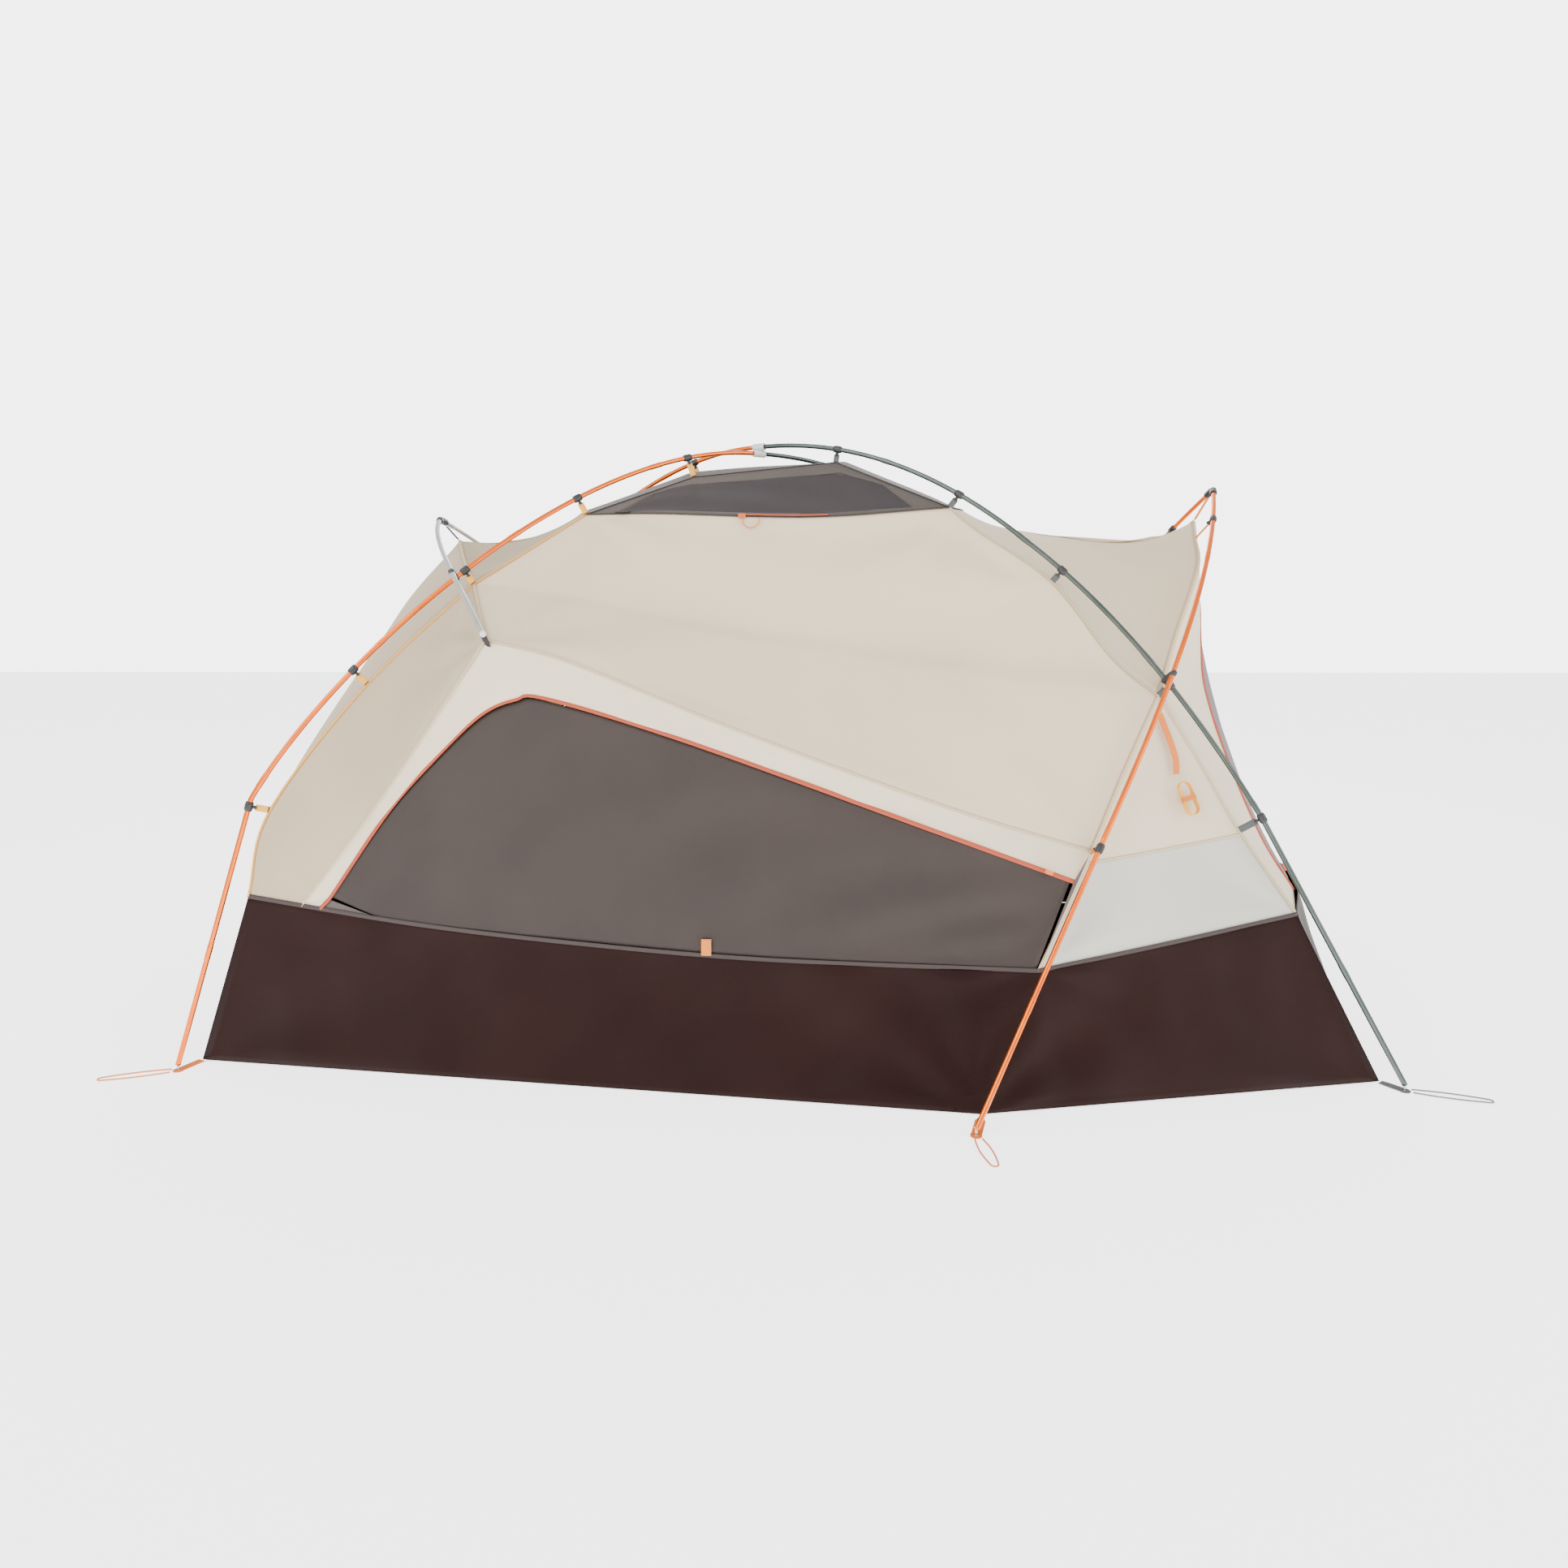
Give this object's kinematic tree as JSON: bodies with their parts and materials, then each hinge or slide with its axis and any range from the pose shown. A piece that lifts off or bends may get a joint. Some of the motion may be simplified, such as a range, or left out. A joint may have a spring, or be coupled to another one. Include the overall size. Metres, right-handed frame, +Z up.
{
  "type": "pole tent",
  "caption": "Two-person tent without its rain fly: cream canopy with mesh vents and windows on crossing aluminium poles, over a brown tub floor.",
  "frame": {"origin": "on the ground under the middle of the floor, halfway between the pole feet of the two ends", "axes": "+X towards the door end, +Z up, -Y towards the side called front"},
  "size_m": [2.5353, 1.745, 1.231],
  "materials": {
    "tub_cloth": "coated woven nylon, dark brown",
    "mesh_cloth": "fine netting, dark grey",
    "brown_cloth": "woven nylon, brown",
    "pale_cloth": "thin translucent nylon, pale grey green",
    "canopy_cloth": "thin woven nylon, cream",
    "silver_pole": "grey anodised tube",
    "grey_pole": "dark grey anodised tube",
    "orange_pole": "orange anodised tube",
    "grey_webbing": "woven webbing and cord, grey",
    "orange_webbing": "woven webbing and cord, orange",
    "black_plastic": "moulded, black",
    "clear_plastic": "moulded, translucent white",
    "zip_pull": "moulded with a cord pull, orange"
  },
  "bodies": {
    "tent": {"arch_elbow": "black_plastic", "arch_pole_front": "orange_pole", "arch_pole_rear": "orange_pole", "corner_gusset_front": "canopy_cloth", "corner_gusset_rear": "canopy_cloth", "door_wall": "canopy_cloth", "eave_elbow": "black_plastic", "eave_pole_front": "silver_pole", "eave_pole_rear": "silver_pole", "end_wall_foot": "canopy_cloth", "floor_sheet": "tub_cloth", "hood_door": "canopy_cloth", "hood_foot": "canopy_cloth", "hub": "clear_plastic", "main_pole_a_door_half": "grey_pole", "main_pole_a_foot_half": "orange_pole", "main_pole_b_door_half": "grey_pole", "main_pole_b_foot_half": "orange_pole", "peak_strap_door": "orange_webbing", "peak_strap_foot": "black_plastic", "roof_crown": "brown_cloth", "side_wall_front": "pale_cloth", "side_wall_rear": "pale_cloth", "tab_door_end_front": "grey_webbing", "tab_door_end_rear": "grey_webbing", "tab_foot_end_front": "orange_webbing", "tab_foot_end_rear": "orange_webbing", "tab_middle_front": "orange_webbing", "tab_middle_rear": "orange_webbing", "tub_wall_door": "tub_cloth", "tub_wall_foot": "tub_cloth", "tub_wall_front": "tub_cloth", "tub_wall_rear": "tub_cloth", "upper_panel_front": "canopy_cloth", "upper_panel_rear": "canopy_cloth", "vent_border_front": "brown_cloth", "vent_border_rear": "brown_cloth", "vent_mesh_front": "mesh_cloth", "vent_mesh_rear": "mesh_cloth", "window_band_front": "canopy_cloth", "window_band_rear": "canopy_cloth", "window_mesh_front": "mesh_cloth", "window_mesh_rear": "mesh_cloth"},
    "window_cover_front": {"window_cover_front": "canopy_cloth"},
    "guyline_front": {"guyline_strap_front": "orange_webbing", "guyline_hank_front": "orange_webbing"},
    "window_slider_front": {"window_zip_slider_front": "zip_pull"},
    "loop_foot_end_front": {"stake_loop_foot_end_front": "orange_webbing"},
    "loop_middle_front": {"stake_loop_middle_front": "orange_webbing"},
    "loop_door_end_front": {"stake_loop_door_end_front": "grey_webbing"},
    "window_cover_rear": {"window_cover_rear": "canopy_cloth"},
    "guyline_rear": {"guyline_strap_rear": "orange_webbing", "guyline_hank_rear": "orange_webbing"},
    "window_slider_rear": {"window_zip_slider_rear": "zip_pull"},
    "loop_foot_end_rear": {"stake_loop_foot_end_rear": "orange_webbing"},
    "loop_middle_rear": {"stake_loop_middle_rear": "orange_webbing"},
    "loop_door_end_rear": {"stake_loop_door_end_rear": "grey_webbing"},
    "door": {"door_panel": "mesh_cloth"},
    "door_slider": {"door_zip_slider": "zip_pull"},
    "vent_slider": {"vent_zip_slider": "zip_pull"}
  },
  "joints": [
    {"name": "window_cover_front_drop", "type": "hinge", "parent": "tent", "child": "window_cover_front", "pos_m": [-0.15, -0.562, 0.2366], "axis": [-0.9942, 0.0935, 0.0533], "range_deg": [0, 110]},
    {"name": "window_slider_front_run", "type": "slide", "parent": "tent", "child": "window_slider_front", "axis": [-0.9397, 0.1222, 0.3195], "range_m": [0, 0.75]},
    {"name": "guyline_front_swing", "type": "hinge", "parent": "tent", "child": "guyline_front", "pos_m": [0.7175, -0.4255, 0.67], "axis": [-0.9873, -0.1586, 0], "range_deg": [0, 60]},
    {"name": "window_cover_rear_drop", "type": "hinge", "parent": "tent", "child": "window_cover_rear", "pos_m": [-0.15, 0.562, 0.2366], "axis": [0.9942, 0.0935, -0.0533], "range_deg": [0, 110]},
    {"name": "window_slider_rear_run", "type": "slide", "parent": "tent", "child": "window_slider_rear", "axis": [-0.9397, -0.1222, 0.3195], "range_m": [0, 0.75]},
    {"name": "guyline_rear_swing", "type": "hinge", "parent": "tent", "child": "guyline_rear", "pos_m": [0.7175, 0.4255, 0.67], "axis": [0.9873, -0.1586, 0], "range_deg": [0, 60]},
    {"name": "door_drop", "type": "hinge", "parent": "tent", "child": "door", "pos_m": [1.128, 0, 0.3085], "axis": [0, 1, 0], "range_deg": [0, 125]},
    {"name": "door_slider_run", "type": "slide", "parent": "door", "child": "door_slider", "axis": [-0.4131, 0.1821, 0.8923], "range_m": [0, 0.2]},
    {"name": "vent_slider_run", "type": "slide", "parent": "tent", "child": "vent_slider", "axis": [0.9999, -0.006, -0.012], "range_m": [0, 0.1]},
    {"name": "loop_foot_end_front_lift", "type": "hinge", "parent": "tent", "child": "loop_foot_end_front", "pos_m": [-1.14963, -0.5547, 0.0019], "axis": [-0.3201, 0.9474, 0], "range_deg": [0, 75]},
    {"name": "loop_foot_end_rear_lift", "type": "hinge", "parent": "tent", "child": "loop_foot_end_rear", "pos_m": [-1.14963, 0.5547, 0.0019], "axis": [0.3201, 0.9474, 0], "range_deg": [0, 75]},
    {"name": "loop_middle_front_lift", "type": "hinge", "parent": "tent", "child": "loop_middle_front", "pos_m": [0.33411, -0.78767, 0.0019], "axis": [-0.99, -0.1413, 0], "range_deg": [0, 75]},
    {"name": "loop_middle_rear_lift", "type": "hinge", "parent": "tent", "child": "loop_middle_rear", "pos_m": [0.33411, 0.78767, 0.0019], "axis": [0.99, -0.1413, 0], "range_deg": [0, 75]},
    {"name": "loop_door_end_front_lift", "type": "hinge", "parent": "tent", "child": "loop_door_end_front", "pos_m": [1.1497, -0.60699, 0.0019], "axis": [-0.3036, -0.9528, 0], "range_deg": [0, 75]},
    {"name": "loop_door_end_rear_lift", "type": "hinge", "parent": "tent", "child": "loop_door_end_rear", "pos_m": [1.1497, 0.60699, 0.0019], "axis": [0.3036, -0.9528, 0], "range_deg": [0, 75]}
  ]
}
